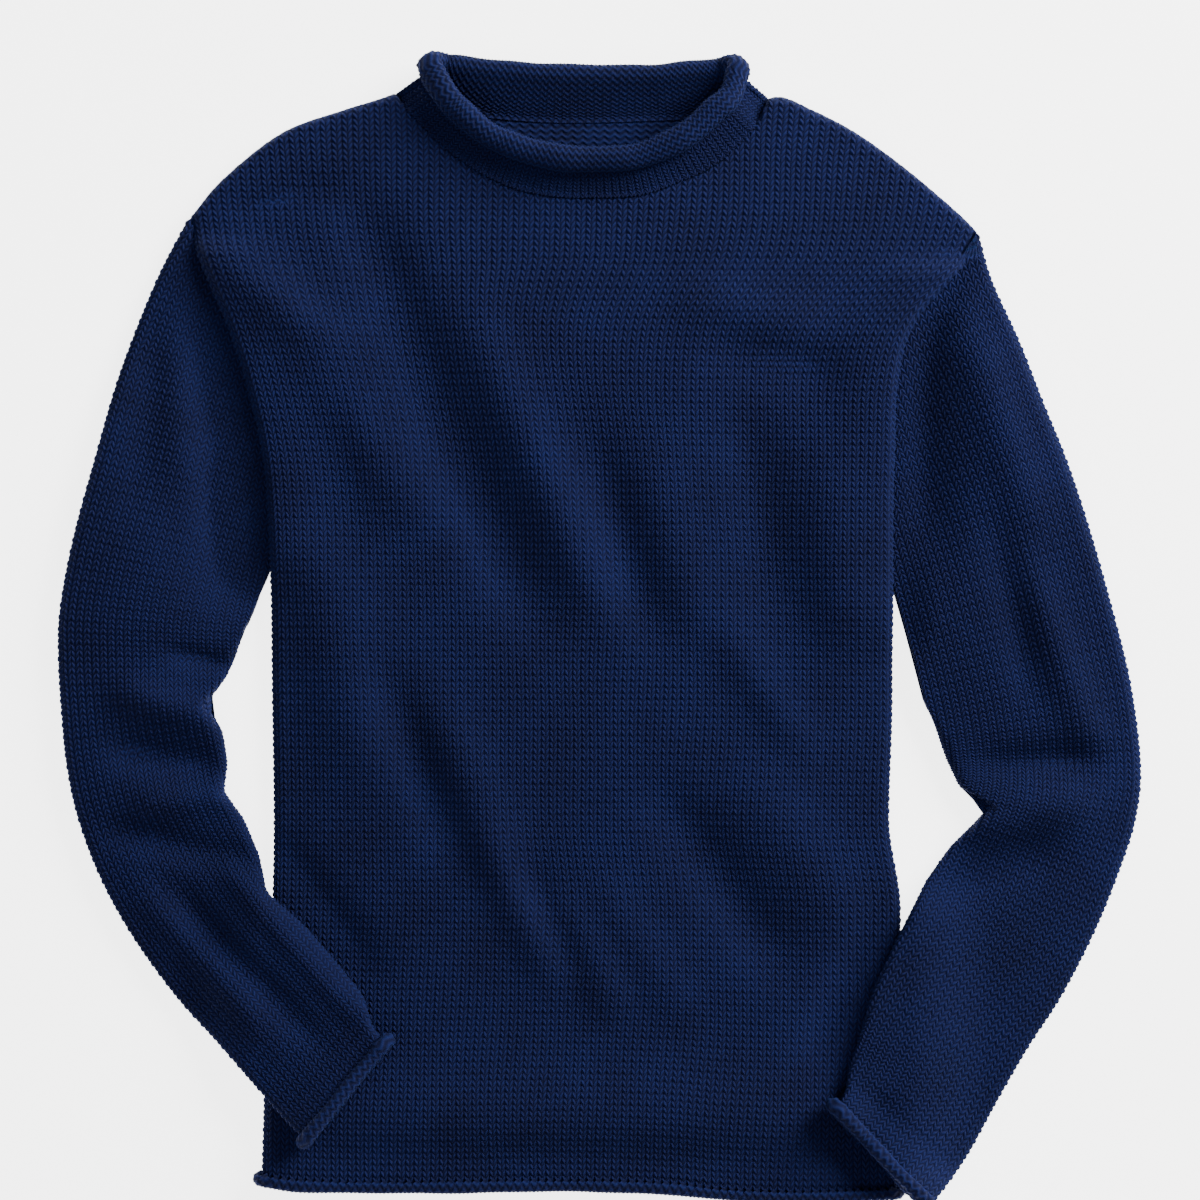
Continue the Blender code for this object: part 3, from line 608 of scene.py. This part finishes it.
rightSleeveFolds = table(
    "x y length width bearing height",
    (191, 130, 88, 22, -86, -11.0), (243, 124, 64, 16, -72, 5.0), (280, -20, 73, 13, -69, 4.6),
    (252, 14, 52, 12, -78, -4.2), (266, -79, 40, 11, 4, -7.5), (260, -110, 42, 14, 13, 8.5),
    (236, -148, 44, 15, 22, -6.0))


def smoothPath(x, y, count=1500):
    # Catmull-Rom through the points, with its length so far at each of its points and at each knot
    p = np.column_stack([x, y])
    padded = np.vstack([2 * p[0] - p[1], p, 2 * p[-1] - p[-2]])
    even = np.linspace(0, len(p) - 1, count)
    i = np.minimum(even.astype(int), len(p) - 2)
    t = (even - i)[:, None]
    a, b, c, d = (padded[i + k] for k in range(4))
    path = b + t * (c - a + t * (2 * a - 5 * b + 4 * c - d + t * (3 * b - a - 3 * c + d))) / 2
    length = np.concatenate([[0], np.cumsum(np.linalg.norm(np.diff(path, axis=0), axis=1))])
    return path, length, np.interp(np.arange(len(p)), even, length)


def bearings(path, length, tab, sign):
    # the direction of a chord from behind to ahead, which turns square to the cuff's own edge near the end
    end = length[-1]
    ahead = np.minimum(length + sleeveSet["chord"], end)
    behind = np.maximum(length - sleeveSet["chord"], 0)
    dx, dy = (np.interp(ahead, length, path[:, k]) - np.interp(behind, length, path[:, k]) for k in (0, 1))
    bearing = np.unwrap(np.arctan2(dy, dx))
    edge = np.arctan2(tab["innerY"][-1] - tab["outerY"][-1], tab["innerX"][-1] - tab["outerX"][-1])
    more = (edge + sign * np.pi / 2 - bearing[-1] + np.pi) % (2 * np.pi) - np.pi
    return bearing + more * ease((length - end + sleeveSet["squareCuff"]) / sleeveSet["squareCuff"])


def reachOf(start, inward, remaining, tab, sign, armpit):
    # how far each course goes inwards from the outer fold: to the armhole above the armpit, to the underarm
    # seam below it, and to the cuff's own width at the end, with the rest of the length given as remaining.
    # The first step past the limit is refined in proportion, and a bell curve smooths all reaches.
    steps = np.arange(0, sleeveSet["widest"], 1.0)
    x = start[0] + inward[0] * steps
    y = start[1] + inward[1] * steps
    edgeX = leftSide(y) if sign < 0 else rightSide(y)
    order = np.argsort(tab["innerY"])
    seamX = np.interp(y, tab["innerY"][order], tab["innerX"][order])
    past = (np.where(y > armpit, edgeX + sign * sleeveSet["armholeGap"], seamX) - x) * sign
    hit = np.argmax(past > 0, axis=1)
    hit = np.where((past > 0).any(axis=1), np.maximum(hit, 1), len(steps) - 1)
    row = np.arange(len(hit))
    short, over = past[row, hit - 1], past[row, hit]
    reach = steps[hit - 1] + short / np.minimum(short - over, -1e-6)
    cuff = np.hypot(tab["innerX"][-1] - tab["outerX"][-1], tab["innerY"][-1] - tab["outerY"][-1])
    near = cuff + (reach - cuff) * ease(remaining / sleeveSet["cuffBlend"])
    reach = np.where(remaining < sleeveSet["cuffBlend"], near, reach)
    bell = np.exp(-np.linspace(-2, 2, 15) ** 2)
    return np.convolve(np.pad(reach, 7, mode="edge"), bell / bell.sum(), mode="valid")[:, None]


def bodyCover(x, y, sign):
    # what a sleeve rests on: the front's height and that of its curled hem, easing to 0 past the hem, plus
    # the gap, all easing to 0 over the ramp beside the body
    (hemAt, hemWay), (pastAt, pastWay) = sleeveSet["hemNear"], sleeveSet["pastHem"]
    below = hemLine(x) - y
    height = frontHeight(x, y) + body["hemDrop"] * ease((hemAt - np.abs(below)) / hemWay)
    height = height * (1 - ease((below - pastAt) / pastWay))
    inside = x - leftSide(y) if sign < 0 else rightSide(y) - x
    up = (inside + sleeveSet["ramp"] + sleeveSet["rampRoom"]) / sleeveSet["ramp"]
    return (height + sleeveSet["gap"]) * ease(up)


def sleeveForm(tab, foldTab, sign, points):
    # wales keep their distance g from the outer fold, below zero on the lower layer, and courses cross them.
    # Each course goes round a quarter circle at the outer fold, across, and round one at the underarm seam.
    path, length, knots = smoothPath(tab["outerX"], tab["outerY"])
    bearing = bearings(path, length, tab, sign)
    end = length[-1]
    armpit, tip = (body[key][0 if sign < 0 else 1] for key in ("armpit", "tips"))
    curlRadius = sleeveSet["curlRadius"] + halfThick
    curl = np.radians(sleeveSet["curlTurn"])
    curlCourses = curl * curlRadius / stitch["course"]
    half = sleeveSet["halfWales"]
    w, c = knitGrid(2 * half, end / stitch["course"] + curlCourses, *points)
    g = (w - half) * stitch["wale"]
    t = np.minimum(c * stitch["course"], end)
    foldX = np.interp(t, length, path[:, 0])
    foldY = np.interp(t, length, path[:, 1])
    angle = np.interp(t, length, bearing)
    inX, inY = np.cos(angle - sign * np.pi / 2), np.sin(angle - sign * np.pi / 2)
    start, inward = (foldX[:, :1], foldY[:, :1]), (inX[:, :1], inY[:, :1])
    reach = reachOf(start, inward, end - t[:, 0], tab, sign, armpit)
    edgeY = start[1] + inward[1] * reach
    upper = (g >= 0)[None, :]
    tuckAt, tuckWay = sleeveSet["tuckEase"]
    tucked = ease((edgeY - armpit - tuckAt) / tuckWay) * ease((tip - tuckAt - edgeY) / tuckWay)
    reach = reach + sleeveSet["tuck"] * tucked * upper

    # d is the distance inwards, and share the height over the middle, from -1 below to 1 above
    height = through(knots, tab["height"], t) * sleeveSet["flatten"]
    closeAt, closeWay = sleeveSet["closeEase"]
    armpitAt = np.interp(armpit, path[::-1, 1], length[::-1])
    close = ease((t - armpitAt - closeAt) / closeWay)
    radius = np.minimum(height / 2 * sleeveSet["foldShare"], reach * sleeveSet["reachShare"])
    seamRadius = radius * close
    total = reach - radius + radius * np.pi / 2 + seamRadius * (np.pi / 2 - 1)
    far = np.minimum(np.abs(g)[None, :], total)
    theta = np.clip(far / radius, 0, np.pi / 2)
    phi = np.clip((total - far) / np.maximum(seamRadius, 1e-3), 0, np.pi / 2)
    d = radius * (1 - np.cos(theta)) + np.maximum(far - radius * np.pi / 2, 0)
    d = np.where(phi < np.pi / 2, reach - seamRadius * (1 - np.cos(phi)), d)
    share = np.sin(theta) * (1 - close * (1 - np.sin(phi)))
    x, y = foldX + inX * d, foldY + inY * d

    # thickness: the head's at the armhole, easing to the dome and its folds; the whole lies on what is below
    sideX = leftSide(np.maximum(y, armpit)) if sign < 0 else rightSide(np.maximum(y, armpit))
    fromHead = np.hypot(np.maximum((x - sideX) * sign, 0), np.maximum(armpit - y, 0))
    full = height * (1 + sleeveSet["dome"] * np.sin(np.pi * np.clip(d / reach, 0, 1))) + folds(foldTab, x, y)
    head = sleeveSet["headHeight"]
    high = head + (full - head) * ease((fromHead - 1) / sleeveSet["headBlend"])
    high = softMax(high, sleeveSet["least"], sleeveSet["soften"])
    lift = sleeveSet["drop"] * ease((t - end + sleeveSet["cuffBlend"]) / sleeveSet["cuffBlend"])
    low = through(knots, tab["over"], t) * bodyCover(x, y, sign) + lift
    grid = np.dstack([x, y, low + high * (1 + np.where(upper, 1, -1) * share) / 2])

    # the cuff's curl goes along the normal of a row shortly before it, with a radius that waves make uneven
    roll = np.clip((c * stitch["course"] - end) / curlRadius, 0, curl)
    n = normals(grid) * sign
    lastFlat = len(c) - int(np.ceil(curlCourses * points[1])) - 8
    outward = np.broadcast_to(n[lastFlat], n.shape)
    onward = np.dstack([np.cos(angle), np.sin(angle), 0 * angle])
    bend = sleeveSet["curlRadius"] * (1 + 0.15 * np.sin(g / 6.0) + 0.12 * np.sin(g / 13.0 + 2))
    grid = curlOver(grid, outward, onward, roll, bend, bend)

    # columns past the seam fall on the last one of their layer
    first = np.floor((half - total[:, 0] / stitch["wale"]) * points[0]).astype(int)
    last = np.ceil((half + total[:, -1] / stitch["wale"]) * points[0]).astype(int)
    first, last = (np.clip(column, 0, len(w) - 1)[:, None] for column in (first, last))
    rep = np.arange(len(c))[:, None] * len(w) + np.clip(np.arange(len(w))[None, :], first, last)
    calm = calmness(total - np.abs(g), sleeveSet["calmWidth"], sleeveSet["calmLeast"], roll > 0)
    return w, c, grid, rep, roll > 0, calm


for name, node, tab, foldTab, sign in (
        ("sleeveLeft", "sleeve_left", leftSleeve, leftSleeveFolds, -1),
        ("sleeveRight", "sleeve_right", rightSleeve, rightSleeveFolds, 1)):
    w, c, grid, rep, curled, calm = sleeveForm(tab, foldTab, sign, sleeveSet["fine"])
    outer, inner = layerWall(grid, w, c, sign, sleeveSet["depth"], calm)
    rows = someRows(len(c), sleeveSet["innerStep"], curled.any(axis=1))
    piece = clothMesh(name, outer, inner, rows, rep, w, c, navy, flip=sign < 0)
    place(piece, node)
print("sleeves made")


# The collar: a ring that stands on the neckline, leans in to the rim and rolls outwards there.
collarSet = dict(
    wales=104, bandCourses=9,           # stitches round, and up to the rim
    rollRadius=4.5, rollTurn=292.0,     # the roll
    rollFlat=0.74, rollWide=1.15,       # shares of its radius, outwards and onwards
    knee=6.0, kneeRise=2.5,             # where the band bends up from the neckline
    foot=0.6, frontDrop=6.5,            # gap to the neckline, and how much lower the rim is in front
    tuckIn=1.7, tuckUp=0.9,             # the lower edge's stitches go under the panels
    lipEnds=(30, 60),                   # half points of the neckline: its ends where they don't, and the ease
    depth=1.0, rib=0.5, rollCalm=0.4,   # relief, its deeper sides, and the share of it on the roll
    sunk=0.3, inside=2.4, purlDepth=1.0,  # as for every stitch, in a closer knit
    neckPoints=900, fine=(4, 4))        # points along a panel's neckline, and to a wale and a course


def neckline(neck, height, drop):
    # a row of points: the panel's neckline at its height, with the rim that the collar reaches above each
    x = np.linspace(neck["x"][0], neck["x"][-1], collarSet["neckPoints"])
    y = through(neck["x"], neck["y"], x)
    z = height(x, y, outsideNeck(x))
    rimX, rimY, rise = (through(neck["x"], neck[key], x) for key in ("rimX", "rimY", "rise"))
    return np.column_stack([x, y, z, rimX, rimY, rise + z - drop * (1 - outsideNeck(x))])


def necklineHeight(x, y, edge):
    # from the seam's height at the ends to the front's height
    ground = body["sideSeam"] + body["seamRoom"]
    return ground + (frontHeight(x, y) - ground) * (1 - edge)


def nape(x, y, edge):
    # from the seam's height at the ends to the floor
    return (body["sideSeam"] - body["seamRoom"]) * edge


def unit(vectors):
    # each vector over its length
    return vectors / np.linalg.norm(vectors, axis=1)[:, None]


def collarForm(points):
    # up from the neckline on a quadratic curve foot - knee - rim, then over into the roll, square to the
    # ring. lip is the shift of the lowest stitches under the panels, and onFront is 1 along the front's
    # neckline and 0 along the back's.
    ring = np.vstack([neckline(neckFront, necklineHeight, collarSet["frontDrop"])[:-1],
                      neckline(neckBack, nape, 0)[::-1]])
    length = np.concatenate([[0], np.cumsum(np.linalg.norm(np.diff(ring[:, :3], axis=0), axis=1))])
    rollRadius = collarSet["rollRadius"] + halfThick
    turn = np.radians(collarSet["rollTurn"])
    courses = collarSet["bandCourses"] + turn * rollRadius / stitch["course"]
    w, c = knitGrid(collarSet["wales"], courses, *points)
    straight = np.arange(len(c))[:, None] / points[1]
    c = straight + (c - straight) * np.clip(straight, 0, 1)  # the lowest row is straight, for the seam
    number = np.arange(len(ring))
    along = np.interp(w / collarSet["wales"] * length[-1], length, number)
    at = np.column_stack([np.interp(along, number, ring[:, k]) for k in range(6)])
    foot, rim = at[:, :3], at[:, 3:]
    level = unit((rim - foot) * [1, 1, 0])
    foot = foot + level * collarSet["foot"]
    knee = foot + level * collarSet["knee"] + [0, 0, collarSet["kneeRise"]]
    t = np.clip(c / collarSet["bandCourses"], 0, 1)[:, :, None]
    grid = foot * (1 - t) ** 2 + 2 * knee * t * (1 - t) + rim * t ** 2

    onward = unit(rim - knee)
    around = np.roll(rim[:-1], -3, axis=0) - np.roll(rim[:-1], 3, axis=0)
    outward = unit(np.cross(np.vstack([around, around[:1]]), onward))
    roll = np.clip((c - collarSet["bandCourses"]) * stitch["course"] / rollRadius, 0, turn)
    radius = collarSet["rollRadius"] * (1 + 0.05 * np.sin(w / 3.1) + 0.04 * np.sin(w / 1.3 + 1))
    high, wide = radius * collarSet["rollFlat"], radius * collarSet["rollWide"]
    grid = curlOver(grid, outward, onward, roll, high, wide)
    tuck = [0, 0, collarSet["tuckUp"]] - collarSet["tuckIn"] * level * [1, 1, 0]
    lip = np.exp(-(c / 0.5) ** 2)[:, :, None] * tuck
    lastPoint = collarSet["neckPoints"] - 1
    lipAt, lipWay = collarSet["lipEnds"]
    onFront = ease((collarSet["neckPoints"] - lipAt - np.abs(2 * along - lastPoint)) / lipWay)[None, :, None]
    return w, c, grid, roll > 0, lip, onFront


w, c, grid, curled, lip, onFront = collarForm(collarSet["fine"])
ring = np.concatenate([grid[:, -4:-1], grid, grid[:, 1:4]], axis=1)  # goes on past its ends, for even normals
relief = knitRelief(w, c, collarSet["depth"], collarSet["rib"]) * (1 - (1 - collarSet["rollCalm"]) * curled)
purl = purlRelief(w, c, collarSet["purlDepth"])
sunk = collarSet["sunk"] * collarSet["depth"]
outer, inner = wallOf(grid, normals(ring)[:, 3:-3], relief, purl, sunk, collarSet["inside"],
                      (lip * onFront, lip * (1 - onFront)))
rep = np.arange(len(c))[:, None] * len(w) + np.arange(len(w)) % (len(w) - 1)
collar = clothMesh("collarKnit", outer, inner, np.arange(len(c)), rep, w, c, navy, closed=True, share=0.48)
place(collar, "collar")
print("collar made")
# The stage, in metres: a pale floor that glows to near white, the key light at the upper right, a soft fill.
stage = dict(
    floorSize=8.0, floorLevel=-0.0005, floorColour=(0.80, 0.80, 0.80, 1.0), floorGlow=3.9,
    air=(0.95, 0.97, 1.0, 1.0), airStrength=0.32,
    lights=(("key", (1.92, 1.46, 1.30), 1.6, 218.0), ("fill", (-1.2, -1.6, 3.6), 2.8, 70.0)))


def glowing(name, colour, roughness, glow):
    # one matt colour that gives white light of its own
    material = bpy.data.materials.new(name)
    material.use_nodes = True
    shader = material.node_tree.nodes["Principled BSDF"]
    shader.inputs["Base Color"].default_value = colour
    shader.inputs["Roughness"].default_value = roughness
    shader.inputs["Emission Color"].default_value = (1.0, 1.0, 1.0, 1.0)
    shader.inputs["Emission Strength"].default_value = glow
    return material


def areaLight(name, location, size, power):
    # a square light that looks at the middle of the sweater
    light = bpy.data.lights.new(name, "AREA")
    light.size = size
    light.energy = power
    lamp = bpy.data.objects.new(name, light)
    lamp.location = location
    lamp.rotation_euler = (-Vector(location)).to_track_quat("-Z", "Y").to_euler()
    bpy.context.scene.collection.objects.link(lamp)


bpy.ops.mesh.primitive_plane_add(size=stage["floorSize"], location=(0, 0, stage["floorLevel"]))
floor = bpy.context.object
floor.name = "floor"
floor.data.materials.append(glowing("paleFloor", stage["floorColour"], 0.9, stage["floorGlow"]))

world = bpy.data.worlds.new("studio")
bpy.context.scene.world = world
world.use_nodes = True
world.node_tree.nodes["Background"].inputs[0].default_value = stage["air"]
world.node_tree.nodes["Background"].inputs[1].default_value = stage["airStrength"]
for light in stage["lights"]:
    areaLight(*light)

# The camera looks straight down, from where its field is view["width"] wide at the height of the front.
view = dict(centre=(0.0003, 0.0182), width=0.7284, lens=100.0, sensor=36.0, level=0.012)
camera = bpy.data.cameras.new("camera")
camera.lens = view["lens"]
camera.sensor_width = view["sensor"]
eye = bpy.data.objects.new("camera", camera)
eye.location = (*view["centre"], view["level"] + view["width"] * view["lens"] / view["sensor"])
bpy.context.scene.collection.objects.link(eye)
bpy.context.scene.camera = eye
print("stage set")

print("done")
